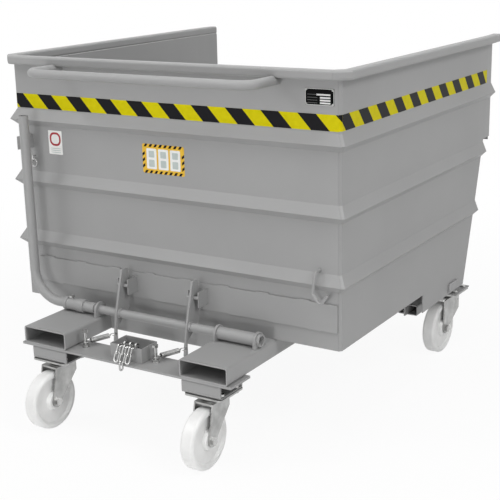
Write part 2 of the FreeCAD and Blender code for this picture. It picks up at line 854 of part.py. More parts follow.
def bearing_plate(x, held_diameter):
    x0 = x - bearing_thickness / 2
    x1 = x + bearing_thickness / 2
    half = bearing_width / 2
    foot = box(x0, x1, shaft_y - half, shaft_y + half, deck, shaft_z)
    crown = rod(bearing_top, V(x0, shaft_y, shaft_z), V(x1, shaft_y, shaft_z))
    crown = crown.common(box(x0, x1, shaft_y - half, shaft_y + half, deck, shaft_z + bearing_top))
    bore = rod(held_diameter / 2 + fit_gap, V(x0 - overrun, shaft_y, shaft_z),
               V(x1 + overrun, shaft_y, shaft_z))
    return foot.fuse(crown).removeSplitter().cut(bore)


def bearing_sleeve():
    # Stands on the inner bearing and passes through the outer one
    start = bearing_inner_x + bearing_thickness / 2
    return pipe(sleeve_diameter / 2, shaft_radius + fit_gap, V(start, shaft_y, shaft_z),
                V(sleeve_end, shaft_y, shaft_z))


def pivot_bracket(side):
    outer = side * front_plate_half
    inner = side * (front_plate_half - pivot_bracket_thickness)
    x0 = min(outer, inner)
    x1 = max(outer, inner)
    radius = pivot_bracket_radius
    foot = prism_x([(pivot_y + radius, plate_top), (pivot_y + radius, pivot_z), (pivot_y - radius, pivot_z),
                    (pivot_y - pivot_bracket_back, plate_top)], x0, x1)
    eye = rod(radius, V(x0, pivot_y, pivot_z), V(x1, pivot_y, pivot_z))
    bore = rod(pivot_diameter / 2 + fit_gap, V(x0 - overrun, pivot_y, pivot_z),
               V(x1 + overrun, pivot_y, pivot_z))
    return foot.fuse(eye).removeSplitter().cut(bore)


def chain_box():
    x0 = chain_box_x - chain_box_length / 2
    x1 = chain_box_x + chain_box_length / 2
    y0 = -chain_box_back
    y1 = chain_box_depth - chain_box_back
    top = plate_top + chain_box_height
    wall = chain_box_wall
    inside = box(x0 + wall, x1 - wall, y0 + wall, y1 - wall, plate_top + wall, top + overrun)
    return box(x0, x1, y0, y1, plate_top, top).cut(inside)


# Safety chain
def chain_link(centre, along, flat):
    # One welded link: two straight sides and two round ends
    bend = (link_inner_width + link_wire) / 2
    half = (link_inner_length + link_wire) / 2 - bend
    start = V(-half, bend, 0)
    edges = [Part.LineSegment(start, V(half, bend, 0)).toShape(),
             Part.Arc(V(half, bend, 0), V(half + bend, 0, 0), V(half, -bend, 0)).toShape(),
             Part.LineSegment(V(half, -bend, 0), V(-half, -bend, 0)).toShape(),
             Part.Arc(V(-half, -bend, 0), V(-half - bend, 0, 0), start).toShape()]
    ring = Part.Wire(Part.Circle(start, X_AXIS, link_wire / 2).toShape())
    link = Part.Wire(edges).makePipeShell([ring], True, False)
    across = along.cross(flat).normalize()
    turn = FreeCAD.Rotation(along, across, flat, "XYZ")
    link.Placement = FreeCAD.Placement(centre, turn)
    return link


def chain_strands():
    # Directions link by link: up out of the box, over its edge, down past the plate and free
    slope = math.radians(chain_slope)
    lift = math.radians(chain_rise_slope)
    drop = V(0, -math.sin(slope), -math.cos(slope))
    rise = V(0, -math.sin(lift), math.cos(lift) * chain_rise_share).normalize()
    over = -Y_AXIS
    return [([Z_AXIS, over, drop, drop], 1),
            ([over, rise, Z_AXIS, over, drop, drop, -Z_AXIS], 3),
            ([Z_AXIS, over, drop, drop], 1)]


def chain_centres(route, crest_index, crest):
    # Each link hangs in the one before, one wire and a small gap inside its end.
    # The wire of a link that lies across stays on the axis of its upright neighbour.
    half = (link_inner_length + link_wire) / 2
    lock = link_wire + link_seat
    steps = []
    for i, (before, after) in enumerate(zip(route, route[1:])):
        pull = before if i % 2 == 0 else after
        steps.append(before * half - pull * lock + after * half)
    centres = [crest]
    for step in steps[crest_index:]:
        centres.append(centres[-1] + step)
    for step in reversed(steps[:crest_index]):
        centres.insert(0, centres[0] - step)
    return centres


def safety_chain():
    top = plate_top + chain_box_height + link_wire / 2 + link_seat
    links = []
    for strand, (route, crest_index) in enumerate(chain_strands()):
        x = chain_box_x + chain_first_x + strand * chain_strand_gap
        crest = V(x, -chain_box_back + chain_box_wall / 2 - chain_crest_out, top)
        centres = chain_centres(route, crest_index, crest)
        for i, (centre, along) in enumerate(zip(centres, route)):
            flat = X_AXIS if i % 2 == 0 else along.cross(X_AXIS).normalize()
            links.append(chain_link(centre, along, flat))
    return links


# Extension springs
def post_place(arm_x):
    return V(arm_x + post_offset_x, eye_y + post_offset_y, plate_top)


def spring_post(arm_x):
    foot = post_place(arm_x)
    stem = rod(post_diameter / 2, foot, foot + V(0, 0, post_height))
    washer = rod(post_washer / 2, foot, foot + V(0, 0, post_washer_height))
    nut = hexagon(post_nut, foot + V(0, 0, post_washer_height), V(0, 0, post_nut_height))
    head = hexagon(post_nut, foot + V(0, 0, post_height - post_nut_height), V(0, 0, post_nut_height))
    return stem.fuse(washer).fuse(nut).fuse(head).removeSplitter()


def arc_from(start, tangent, end):
    # Arc that leaves start along tangent and reaches end
    chord = end - start
    side = chord - tangent * chord.dot(tangent)
    radius = chord.dot(chord) / (2 * side.Length)
    centre = start + side.normalize() * radius
    middle = centre + ((start + end) * 0.5 - centre).normalize() * radius
    return Part.Arc(start, middle, end).toShape()


def biarc(start, start_run, end, end_run):
    chord = end - start
    both = start_run + end_run
    bend = 2 * (1 - start_run.dot(end_run))
    lead = chord.dot(both)
    reach = (math.sqrt(lead * lead + bend * chord.dot(chord)) - lead) / bend
    joint = (start + start_run * reach + end - end_run * reach) * 0.5
    back = arc_from(end, end_run * -1, joint)
    return [arc_from(start, start_run, joint), back]


def spring_ends(arm_x):
    # Middles of the two end loops: one round the post, one through the arm's eye and round its edge
    post = post_place(arm_x) + V(0, 0, eye_z - plate_top)
    loop = spring_loop_radius
    wire = spring_wire / 2
    through = math.sqrt(loop ** 2 - (arm_thickness / 2) ** 2)
    slack = arm_eye_diameter / 2 - wire * loop / through - spring_seat
    eye_end = V(arm_x, eye_y - through - slack, eye_z)
    pull = (eye_end - post).normalize()
    return post + pull * (loop - spring_seat - wire - post_diameter / 2), eye_end


def loop_arcs(centre, side):
    # End loop, open towards the turns; side -1 is the loop at the start of the wire
    opening = math.radians(spring_loop_opening)
    parts = 4
    step = (2 * math.pi - 2 * opening) / parts / 2
    turns = [opening + i * step for i in range(2 * parts + 1)]
    if side < 0:
        turns.reverse()
    spots = [centre + V(-side * math.cos(a), math.sin(a), 0) * spring_loop_radius for a in turns]
    return [Part.Arc(a, b, c).toShape() for a, b, c in zip(spots[::2], spots[1::2], spots[2::2])], spots


def spring_turn_spots(length):
    mean = (spring_diameter - spring_wire) / 2
    first = (length - spring_turns * spring_pitch) / 2
    rate = spring_pitch / (2 * math.pi)
    spots = []
    for quarter in range(4 * spring_turns + 1):
        turn = quarter * math.pi / 2
        at = V(first + rate * turn, mean * math.cos(turn), mean * math.sin(turn))
        run = V(rate, -mean * math.sin(turn), mean * math.cos(turn)).normalize()
        spots.append((at, run))
    return spots


def spring_wire_path(length):
    # Along +X between the loops' middles: loop, neck, turns, neck, loop
    opening = math.radians(spring_loop_opening)
    reach = spring_loop_radius + spring_neck
    first_arcs, first_spots = loop_arcs(V(0, 0, 0), -1)
    last_arcs, last_spots = loop_arcs(V(length, 0, 0), 1)
    spots = spring_turn_spots(length)
    down = V(math.sin(opening), -math.cos(opening), 0)
    up = V(math.sin(opening), math.cos(opening), 0)
    edges = first_arcs + biarc(first_spots[-1], down, V(reach, 0, 0), X_AXIS)
    edges += biarc(V(reach, 0, 0), X_AXIS, spots[0][0], spots[0][1])
    for (a, a_run), (b, b_run) in zip(spots, spots[1:]):
        edges += biarc(a, a_run, b, b_run)
    edges += biarc(spots[-1][0], spots[-1][1], V(length - reach, 0, 0), X_AXIS)
    edges += biarc(V(length - reach, 0, 0), X_AXIS, last_spots[0], up)
    return Part.Wire(edges + last_arcs)


def least_gap(wire):
    # Smallest clear distance between stretches of the wire that are not neighbours
    points = wire.discretize(Distance=spring_wire / 2)
    skip = int(4 * math.pi)
    least = spring_diameter
    for i, a in enumerate(points):
        for b in points[i + skip:]:
            least = min(least, (a - b).Length)
    return least - spring_wire


def extension_spring(arm_x):
    start, end = spring_ends(arm_x)
    wire = spring_wire_path((end - start).Length)
    first = wire.OrderedEdges[0]
    at = first.FirstParameter
    ring = Part.Circle(first.valueAt(at), first.tangentAt(at), spring_wire / 2)
    spring = wire.makePipeShell([Part.Wire(ring.toShape())], True, False)
    plain = math.pi * spring_wire ** 2 / 4 * wire.Length
    print("spring gap", round(least_gap(wire), 2), "volume share", round(spring.Volume / plain, 4))
    spring.Placement = FreeCAD.Placement(start, FreeCAD.Rotation(X_AXIS, end - start))
    return spring


# Casters, drawn about the swivel axis and trailing to -Y
def caster_plate():
    w = caster_plate_x / 2
    d = caster_plate_y / 2
    bottom = caster_height - caster_plate_thickness
    plate = box(-w, w, -d, d, bottom, caster_height)
    upright = [e for e in plate.Edges if abs(e.Length - caster_plate_thickness) < fit_gap]
    plate = plate.makeFillet(caster_plate_corner, upright)
    head_bottom = bottom - head_height
    head = rod(head_diameter / 2, V(0, 0, head_bottom), V(0, 0, bottom))
    head = head.makeFillet(head_edge, [e for e in head.Edges if e.BoundBox.ZMax < bottom - head_height / 2])
    crown_bottom = head_bottom - running_gap - crown_thickness
    nut_top = crown_bottom - running_gap
    king = rod(king_pin_diameter / 2, V(0, 0, nut_top), V(0, 0, bottom))
    nut = hexagon(king_nut_diameter, V(0, 0, nut_top), V(0, 0, -king_nut_height))
    solid = plate.fuse(head).fuse(king).fuse(nut).removeSplitter()
    return bolt_holes(solid, 0, 0)


def caster_bolt_places():
    w = caster_plate_x / 2 - caster_bolt_edge
    d = caster_plate_y / 2 - caster_bolt_inset
    return [(sx * w, sy * d) for sx in (-1, 1) for sy in (-1, 1)]


def bolt_holes(solid, caster_x, caster_y):
    for x, y in caster_bolt_places():
        low = V(caster_x + x, caster_y + y, caster_height - overrun)
        solid = solid.cut(rod(caster_bolt_diameter / 2 + fit_gap, low, low + V(0, 0, 2 * overrun)))
    return solid


def caster_bolts(clamped):
    bolts = []
    bottom = caster_height - caster_plate_thickness
    nut_base = caster_height + clamped
    for x, y in caster_bolt_places():
        shank = rod(caster_bolt_diameter / 2, V(x, y, bottom), V(x, y, nut_base + caster_nut_height))
        head = hexagon(caster_bolt_head, V(x, y, bottom), V(0, 0, -caster_bolt_head_height))
        nut = hexagon(caster_bolt_head, V(x, y, nut_base), V(0, 0, caster_nut_height))
        bolts.append(shank.fuse(head).fuse(nut).removeSplitter())
    return bolts


def fork_crown_top():
    return caster_height - caster_plate_thickness - head_height - running_gap


def caster_fork(braked):
    top = fork_crown_top()
    bottom = top - crown_thickness
    outer = fork_inner + fork_thickness
    front = braked_front_reach if braked else fork_front_reach
    back = braked_back_reach if braked else fork_back_reach
    shoulder = bottom - (braked_shoulder if braked else fork_shoulder)
    disc = rod(crown_diameter / 2, V(0, 0, bottom), V(0, 0, top))
    bridge = box(-outer, outer, -fork_back_reach, fork_front_reach, bottom, top)
    fork = disc.fuse(bridge)
    foot = fork_foot_radius
    for side in (-1, 1):
        x0 = min(side * fork_inner, side * outer)
        x1 = max(side * fork_inner, side * outer)
        outline = [(front, top), (-back, top), (-caster_trail - foot, wheel_radius),
                   (-caster_trail + foot, wheel_radius), (front, shoulder)]
        leg = prism_x(outline, x0, x1)
        eye = rod(foot, V(x0, -caster_trail, wheel_radius), V(x1, -caster_trail, wheel_radius))
        fork = fork.fuse(leg).fuse(eye)
    fork = fork.removeSplitter()
    fork = fork.cut(rod(king_pin_diameter / 2 + fit_gap, V(0, 0, bottom - overrun), V(0, 0, top + overrun)))
    fork = fork.cut(rod(axle_radius + fit_gap, V(-outer - overrun, -caster_trail, wheel_radius),
                        V(outer + overrun, -caster_trail, wheel_radius)))
    if braked:
        y, z = pedal_pivot()
        reach = V(outer + overrun, 0, 0)
        fork = fork.cut(rod(pedal_pivot_diameter / 2 + fit_gap, V(0, y, z) - reach, V(0, y, z) + reach))
    return fork


def caster_axle():
    outer = fork_inner + fork_thickness
    y = -caster_trail
    bolt = rod(axle_radius, V(-outer, y, wheel_radius), V(outer, y, wheel_radius))
    for side in (-1, 1):
        bolt = bolt.fuse(hexagon(axle_head_diameter, V(side * outer, y, wheel_radius),
                                 V(side * axle_head_height, 0, 0)))
    return bolt.removeSplitter()


def caster_wheel():
    half = wheel_width / 2
    hub = hub_width / 2
    web = web_width / 2
    bore = axle_radius + fit_gap
    hub_radius = hub_diameter / 2
    flat = tread_flat / 2
    shoulder = wheel_radius - tread_shoulder
    slant = half - web
    web_outer = shoulder - web_margin - slant
    side_share, top_share = tread_bulge_shares
    bulge = V(half - (half - flat) * side_share, wheel_radius - tread_shoulder * top_share, 0)
    right = [V(hub, bore, 0), V(hub, hub_radius, 0), V(web, hub_radius + (hub - web) / 2, 0),
             V(web, web_outer, 0), V(half, web_outer + slant, 0), V(half, shoulder, 0)]
    edges = [Part.LineSegment(a, b).toShape() for a, b in zip(right, right[1:])]
    edges.append(Part.Arc(V(half, shoulder, 0), bulge, V(flat, wheel_radius, 0)).toShape())
    edges.append(Part.LineSegment(V(flat, wheel_radius, 0), V(-flat, wheel_radius, 0)).toShape())
    mirror_bulge = V(-bulge.x, bulge.y, 0)
    edges.append(Part.Arc(V(-flat, wheel_radius, 0), mirror_bulge, V(-half, shoulder, 0)).toShape())
    left = [V(-p.x, p.y, 0) for p in reversed(right)]
    edges += [Part.LineSegment(a, b).toShape() for a, b in zip(left, left[1:])]
    edges.append(Part.LineSegment(left[-1], right[0]).toShape())
    wheel = Part.Face(Part.Wire(edges)).revolve(V(0, 0, 0), X_AXIS, 360)
    wheel.translate(V(0, -caster_trail, wheel_radius))
    return wheel


def pedal_pivot():
    return pedal_pivot_ahead, caster_height - pedal_pivot_drop


def brake_pedal():
    y, z = pedal_pivot()
    half = pedal_width / 2
    reach = fork_inner + fork_thickness
    eye = pedal_eye_radius
    knee = (pedal_knee_ahead, z + pedal_knee_rise)
    end = (pedal_reach, z + pedal_end_rise)
    outline = [(y, z + eye), (y, z - eye), (knee[0], knee[1] - pedal_thickness),
               (end[0], end[1] - pedal_thickness), end, knee]
    pedal = prism_x(outline, -half, half)
    pedal = pedal.fuse(rod(eye, V(-half, y, z), V(half, y, z)))
    pedal = pedal.fuse(rod(pedal_pivot_diameter / 2, V(-reach, y, z), V(reach, y, z)))
    step = (end[0] - knee[0]) / (pedal_tread_count + 1)
    for i in range(pedal_tread_count):
        at = knee[0] + (i + 1) * step
        rise = knee[1] + (end[1] - knee[1]) * (i + 1) / (pedal_tread_count + 1)
        pedal = pedal.fuse(box(-half, half, at - pedal_tread_width / 2, at + pedal_tread_width / 2,
                               rise - pedal_thickness / 2, rise + pedal_tread_height))
    return pedal.removeSplitter()


def make_hopper():
    put("rear_wall", swept_wall(plan_rear_left, plan_rear_right, deck))
    put("side_wall_left", side_wall(0, plan_rear_left))
    put("side_wall_right", side_wall(plan_rear_right, plan_last))
    put("hopper_floor", hopper_floor())
    put("front_wall", front_wall())
    put("rim_rear", rim_run(plan_rear_left, plan_rear_right))
    put("rim_left", side_rim(0, plan_rear_left, 0))
    put("rim_right", side_rim(plan_rear_right, plan_last, plan_last - 1))
    put("rim_gussets", rim_gusset(-1), rim_gusset(1))
    put("doubler_plate", doubler_plate())
    put("push_handle", push_handle())
    put("type_plate", type_plate())
    put("type_plate_rivets", *type_plate_rivets())
    put("lever_keeper", lever_keeper())
    put("lock_ring", *lock_ring())
    put("chain_hook", chain_hook())
    put("latch_brackets", *[latch_bracket(arm_x) for arm_x in arm_places.values()])
    put("latch_pins", *[latch_pin(arm_x) for arm_x in arm_places.values()])
    put("skirt_bars", skirt_bar(-1), skirt_bar(1))
    put("pivot_pins", pivot_pin(-1), pivot_pin(1))


def make_release():
    put("release_shaft", release_shaft())
    put("release_lever", release_lever())
    put("lever_socket", lever_socket())
    put("socket_bolt", socket_bolt())
    for side, arm_x in arm_places.items():
        put("latch_arm_" + side, latch_arm(arm_x))
    put("shaft_collars", *[shaft_collar(arm_x) for arm_x in arm_places.values()])


def make_frame():
    put("fork_pocket_left", fork_pocket(-1))
    put("fork_pocket_right", fork_pocket(1))
    put("rear_cross_plate", rear_cross_plate())
    put("rear_spacers", rear_spacer(-1), rear_spacer(1))
    put("rear_cross_beam", rear_cross_beam())
    put("front_cross_plate", front_cross_plate())
    put("front_beams", front_beam(-1), front_beam(1))
    put("beam_webs", beam_web(-1), beam_web(1))
    put("caster_seats", caster_seat(-1), caster_seat(1))
    put("shaft_bearings", bearing_plate(bearing_left_x, shaft_diameter),
        bearing_plate(bearing_inner_x, shaft_diameter), bearing_plate(bearing_outer_x, sleeve_diameter))
    put("bearing_sleeve", bearing_sleeve())
    put("pivot_brackets", pivot_bracket(-1), pivot_bracket(1))
    put("chain_box", chain_box())
    put("safety_chain", *safety_chain())
    put("spring_posts", *[spring_post(arm_x) for arm_x in arm_places.values()])
    for side, arm_x in arm_places.items():
        put("spring_" + side, extension_spring(arm_x))


def make_casters():
    plates = []
    bolts = []
    for name, (x, y, yaw, braked) in casters.items():
        plates.append(rest_turn(caster_plate(), x, y, 0))
        clamped = spacer_height - front_beam_height if braked else spacer_wall
        bolts += [rest_turn(bolt, x, y, 0) for bolt in caster_bolts(clamped)]
        put("caster_fork_" + name, rest_turn(caster_fork(braked), x, y, yaw))
        put("caster_axle_" + name, rest_turn(caster_axle(), x, y, yaw))
        put("caster_wheel_" + name, rest_turn(caster_wheel(), x, y, yaw))
        if braked:
            put("brake_pedal_" + name, rest_turn(brake_pedal(), x, y, yaw))
    put("caster_plates", *plates)
    put("caster_bolts", *bolts)


os.makedirs("parts", exist_ok=True)
make_hopper()
make_release()
make_frame()
make_casters()
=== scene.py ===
import math
import bmesh
import bpy
from mathutils import Matrix, Vector


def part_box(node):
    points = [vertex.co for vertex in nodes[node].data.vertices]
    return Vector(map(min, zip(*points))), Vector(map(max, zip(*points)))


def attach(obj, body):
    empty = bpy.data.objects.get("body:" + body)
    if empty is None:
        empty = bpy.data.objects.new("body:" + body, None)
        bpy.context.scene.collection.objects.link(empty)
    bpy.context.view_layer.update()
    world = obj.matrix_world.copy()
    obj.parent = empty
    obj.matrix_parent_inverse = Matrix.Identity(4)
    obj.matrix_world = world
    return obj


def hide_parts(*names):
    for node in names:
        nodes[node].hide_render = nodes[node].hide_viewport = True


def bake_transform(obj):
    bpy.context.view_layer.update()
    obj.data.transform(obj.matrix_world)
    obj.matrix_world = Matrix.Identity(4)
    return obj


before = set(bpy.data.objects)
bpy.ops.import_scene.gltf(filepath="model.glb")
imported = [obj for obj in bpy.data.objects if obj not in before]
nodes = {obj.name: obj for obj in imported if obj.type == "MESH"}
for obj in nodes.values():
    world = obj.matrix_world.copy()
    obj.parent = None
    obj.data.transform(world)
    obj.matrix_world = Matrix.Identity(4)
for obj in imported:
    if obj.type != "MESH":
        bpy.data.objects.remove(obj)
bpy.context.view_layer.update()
print("frame loaded:", len(nodes), "nodes")

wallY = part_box("type_plate")[1].y      # outer face of the handle wall
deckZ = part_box("hopper_floor")[0].z    # underside of the hopper floor


def at(x, y, z):    # drawing millimetres, from the handle wall and the deck, to metres in the frame
    return Vector((x / 1000, wallY + y / 1000, deckZ + z / 1000))


# camera, from the fit to the photograph
camera = {"place": (2.12423, -3.31999, 1.60102), "azimuth": 32.146, "elevation": 15.802, "roll": -1.3065,
          "focalPixels": 1095.586, "framePixels": 500, "sensor": 36.0, "clipEnd": 60}


def setCamera():
    az, el, roll = [math.radians(camera[k]) for k in ("azimuth", "elevation", "roll")]
    back = Vector((math.sin(az) * math.cos(el), -math.cos(az) * math.cos(el), math.sin(el)))
    right = Vector((math.cos(az), math.sin(az), 0))
    up = back.cross(right)
    side = right * math.cos(roll) + up * math.sin(roll)
    top = up * math.cos(roll) - right * math.sin(roll)
    data = bpy.data.cameras.new("photoCamera")
    data.sensor_width = camera["sensor"]
    data.lens = camera["focalPixels"] / camera["framePixels"] * camera["sensor"]
    data.clip_end = camera["clipEnd"]
    view = bpy.data.objects.new("photoCamera", data)
    turn = Matrix((side, top, back)).transposed().to_4x4()
    view.matrix_world = Matrix.Translation(camera["place"]) @ turn
    bpy.context.scene.collection.objects.link(view)
    bpy.context.scene.camera = view


setCamera()
print("camera placed")


# materials; sizes of patterns in millimetres, depths and radii in metres

def linear(hexCode):    # sRGB hex to linear colour
    parts = [int(hexCode[i:i + 2], 16) / 255 for i in (1, 3, 5)]
    return [c / 12.92 if c <= 0.04045 else ((c + 0.055) / 1.055) ** 2.4 for c in parts] + [1.0]


def addNode(tree, kind, settings=None, links=None):    # one node with its settings and what feeds it
    node = tree.nodes.new(kind)
    for key, value in (settings or {}).items():
        if isinstance(key, int) or key in node.inputs:
            node.inputs[key].default_value = value
        else:
            setattr(node, key, value)
    for key, socket in (links or {}).items():
        tree.links.new(socket, node.inputs[key])
    return node


def startMaterial(name, settings):
    material = bpy.data.materials.new(name)
    material.use_nodes = True
    tree = material.node_tree
    tree.nodes.clear()
    shader = addNode(tree, "ShaderNodeBsdfPrincipled", settings)
    addNode(tree, "ShaderNodeOutputMaterial", {}, {"Surface": shader.outputs["BSDF"]})
    spots = addNode(tree, "ShaderNodeTexCoord").outputs["Object"]
    return material, tree, shader, spots


def perMetre(millimetres):    # texture scale that gives a pattern of this size
    return 1000 / millimetres


def cloudyColour(tree, shader, spots, look):    # base colour that drifts between two tones; gives back the drift
    cloud = addNode(tree, "ShaderNodeTexNoise", {"Scale": perMetre(look["cloud"]), "Detail": look["cloudDetail"]},
                    {"Vector": spots})
    ramp = addNode(tree, "ShaderNodeValToRGB", {}, {"Fac": cloud.outputs[0]})
    for element, place, tone in zip(ramp.color_ramp.elements, look["stops"], (look["dark"], look["light"])):
        element.position = place
        element.color = linear(tone)
    tree.links.new(ramp.outputs["Color"], shader.inputs["Base Color"])
    return cloud.outputs[0]


def fineRelief(tree, spots, look, under=None):    # shallow grain, on top of another normal where there is one
    grain = addNode(tree, "ShaderNodeTexNoise", {"Scale": perMetre(look["grain"]), "Detail": look["grainDetail"]},
                    {"Vector": spots})
    feeds = {"Height": grain.outputs[0]}
    if under is not None:
        feeds["Normal"] = under
    bump = addNode(tree, "ShaderNodeBump", {"Strength": look["relief"], "Distance": look["depth"]}, feeds)
    return bump.outputs["Normal"]


def powderCoatedSteel():
    # polyester powder baked on sheet steel: one even neutral grey with a satin sheen,
    # softened edges and a slight orange peel, which is about 2 mm across and drawn coarser so that it shows
    look = {"dark": "#979797", "light": "#9d9d9d", "stops": (0.3, 0.7), "cloud": 420, "cloudDetail": 3.0,
            "grain": 7, "grainDetail": 2.0, "relief": 0.06, "depth": 0.0008, "edge": 0.0022, "edgeSamples": 4}
    material, tree, shader, spots = startMaterial("powderCoatedSteel", {"Roughness": 0.46, "IOR": 1.5})
    cloudyColour(tree, shader, spots, look)
    edge = addNode(tree, "ShaderNodeBevel", {"samples": look["edgeSamples"], "Radius": look["edge"]})
    tree.links.new(fineRelief(tree, spots, look, edge.outputs["Normal"]), shader.inputs["Normal"])
    return material


def zincPlatedSteel(name, dark, light, smooth, dull):
    # electroplated zinc: pale neutral metal, slightly cloudy from the bath; turned pieces shine, pressings are duller
    look = {"dark": dark, "light": light, "stops": (0.3, 0.72), "cloud": 34, "cloudDetail": 4.0,
            "grain": 3, "grainDetail": 2.0, "relief": 0.05, "depth": 0.0004}
    material, tree, shader, spots = startMaterial(name, {"Metallic": 1.0})
    cloud = cloudyColour(tree, shader, spots, look)
    rough = addNode(tree, "ShaderNodeMapRange", {"To Min": smooth, "To Max": dull}, {"Value": cloud})
    tree.links.new(rough.outputs["Result"], shader.inputs["Roughness"])
    tree.links.new(fineRelief(tree, spots, look), shader.inputs["Normal"])
    return material


def turnedNylon():
    # cast polyamide turned on a lathe: milky white, soft sheen, faint mottling;
    # the feed marks of the tool are under 1 mm and drawn coarser so that they show
    look = {"dark": "#e6e6e5", "light": "#f0f0ef", "stops": (0.3, 0.7), "cloud": 45, "cloudDetail": 3.0,
            "grain": 4, "grainDetail": 1.0, "relief": 0.05, "depth": 0.0005}
    material, tree, shader, spots = startMaterial("turnedNylon", {"Roughness": 0.4, "IOR": 1.53})
    cloudyColour(tree, shader, spots, look)
    tree.links.new(fineRelief(tree, spots, look), shader.inputs["Normal"])
    return material


def pressedSteel():
    # dull passivated pressing: darker grey metal with a grained surface and shallow tread ribs
    look = {"dark": "#6c6e6f", "light": "#8c8e8f", "stops": (0.3, 0.72), "cloud": 22, "cloudDetail": 4.0,
            "grain": 3, "grainDetail": 2.0, "relief": 0.08, "depth": 0.0005,
            "ribs": 9, "ribRelief": 0.35, "ribDepth": 0.002}
    material, tree, shader, spots = startMaterial("pressedSteel", {"Metallic": 1.0, "Roughness": 0.46})
    cloudyColour(tree, shader, spots, look)
    # a band of the wave repeats every pi / 10 units at scale 1
    ribs = addNode(tree, "ShaderNodeTexWave",
                   {"bands_direction": "Y", "Scale": perMetre(look["ribs"]) * math.pi / 10}, {"Vector": spots})
    tread = addNode(tree, "ShaderNodeBump", {"Strength": look["ribRelief"], "Distance": look["ribDepth"]},
                    {"Height": ribs.outputs[1], "Normal": fineRelief(tree, spots, look)})
    tree.links.new(tread.outputs["Normal"], shader.inputs["Normal"])
    return material


def millScale():
    # unpainted hot-rolled bore: grey oxide, patchy and nearly matt
    look = {"dark": "#8a8a8a", "light": "#979797", "stops": (0.3, 0.7), "cloud": 60, "cloudDetail": 5.0}
    material, tree, shader, spots = startMaterial("hotRolledMillScale", {"Roughness": 0.62, "IOR": 1.5})
    cloudyColour(tree, shader, spots, look)
    return material


def printedFilm(name, dark, light, roughness, shine=0.5):
    # screen-printed vinyl or lacquer: flat colour, slightly uneven ink and a soft shine, less on matt ink
    look = {"dark": dark, "light": light, "stops": (0.32, 0.7), "cloud": 18, "cloudDetail": 4.0,
            "grain": 9, "grainDetail": 2.0, "relief": 0.04, "depth": 0.0004}
    settings = {"Roughness": roughness, "IOR": 1.5, "Specular IOR Level": shine}
    material, tree, shader, spots = startMaterial(name, settings)
    cloudyColour(tree, shader, spots, look)
    tree.links.new(fineRelief(tree, spots, look), shader.inputs["Normal"])
    return material


paint = powderCoatedSteel()
brightZinc = zincPlatedSteel("zincPlatedTurnedSteel", "#b0b0af", "#d0d0cf", 0.18, 0.34)
dullZinc = zincPlatedSteel("zincPlatedPressedSteel", "#9a9a99", "#bebebd", 0.3, 0.46)
nylon = turnedNylon()
pedalSteel = pressedSteel()
boreOxide = millScale()
blackLacquer = printedFilm("blackLacquer", "#060606", "#0b0b0b", 0.5, 0.06)
yellowFilm = printedFilm("yellowTapeFilm", "#cbc000", "#d4c908", 0.5, 0.1)
blackInk = printedFilm("blackTapeInk", "#0a0a0e", "#0f0e13", 0.5, 0.14)
whiteVinyl = printedFilm("whiteVinyl", "#e8e8e6", "#f0f0ee", 0.4)
redInk = printedFilm("redInk", "#9c1f2c", "#a92834", 0.42)
amberInk = printedFilm("amberInk", "#dfb021", "#e8bb30", 0.42)
greyInk = printedFilm("greyInk", "#b3bdba", "#c0c9c6", 0.45)
paleInk = printedFilm("paleInk", "#d5d5d3", "#e0e0de", 0.42)
dimInk = printedFilm("dimInk", "#5c5c5c", "#686868", 0.45, 0.2)
print("materials made:", len(bpy.data.materials))


# finishes of the frame's nodes; what is not listed is painted grey

finishes = {
    "zinc_plated": ["lock_ring", "safety_chain", "spring_posts", "caster_plates", "caster_bolts", "socket_bolt",
                    "type_plate_rivets", "spring_left", "spring_right", "pivot_pins"],
    "white_nylon": [],
    "pedal_steel": [],
    "black_plate": ["type_plate"],
}
pressings = ["caster_plates", "type_plate_rivets", "spring_left", "spring_right"]    # plated, with the duller look
for corner in ("rear_left", "rear_right", "front_left", "front_right"):
    pressings.append("caster_fork_" + corner)
    finishes["zinc_plated"] += ["caster_fork_" + corner, "caster_axle_" + corner]
    finishes["white_nylon"].append("caster_wheel_" + corner)
for corner in ("front_left", "front_right"):
    finishes["pedal_steel"].append("brake_pedal_" + corner)
slotLooks = {"zinc_plated": brightZinc, "white_nylon": nylon, "pedal_steel": pedalSteel,
             "black_plate": blackLacquer, "grey_paint": paint}
slotOf = {name: slot for slot, names in finishes.items() for name in names}
for name, node in nodes.items():
    slot = slotOf.get(name, "grey_paint")
    node.data.materials.clear()
    node.data.materials.append(dullZinc if name in pressings else slotLooks[slot])
print("frame nodes finished")


# meshes

def addPiece(name, bm, material, body, smooth=None):    # smooth: degrees above which an edge stays sharp
    bmesh.ops.recalc_face_normals(bm, faces=bm.faces)
    mesh = bpy.data.meshes.new(name)
    bm.to_mesh(mesh)
    bm.free()
    mesh.materials.append(material)
    piece = bpy.data.objects.new(name, mesh)
    bpy.context.scene.collection.objects.link(piece)
    if smooth:
        mesh.polygons.foreach_set("use_smooth", [True] * len(mesh.polygons))
        mesh.set_sharp_from_angle(angle=math.radians(smooth))
    if body:
        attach(piece, body)
    return piece


def sweepRings(bm, rings, closed=False):    # skin between rings of equal count, with end caps unless closed
    made = [[bm.verts.new(p) for p in ring] for ring in rings]
    pairs = list(zip(made, made[1:])) + ([(made[-1], made[0])] if closed else [])
    count = len(made[0])
    for a, b in pairs:
        for i in range(count):
            j = (i + 1) % count
            bm.faces.new((a[i], a[j], b[j], b[i]))
    if not closed:
        bm.faces.new(made[0])
        bm.faces.new(made[-1])


def slab(bm, outline, push):    # closed prism from a flat outline and a push vector
    sweepRings(bm, [outline, [p + push for p in outline]])


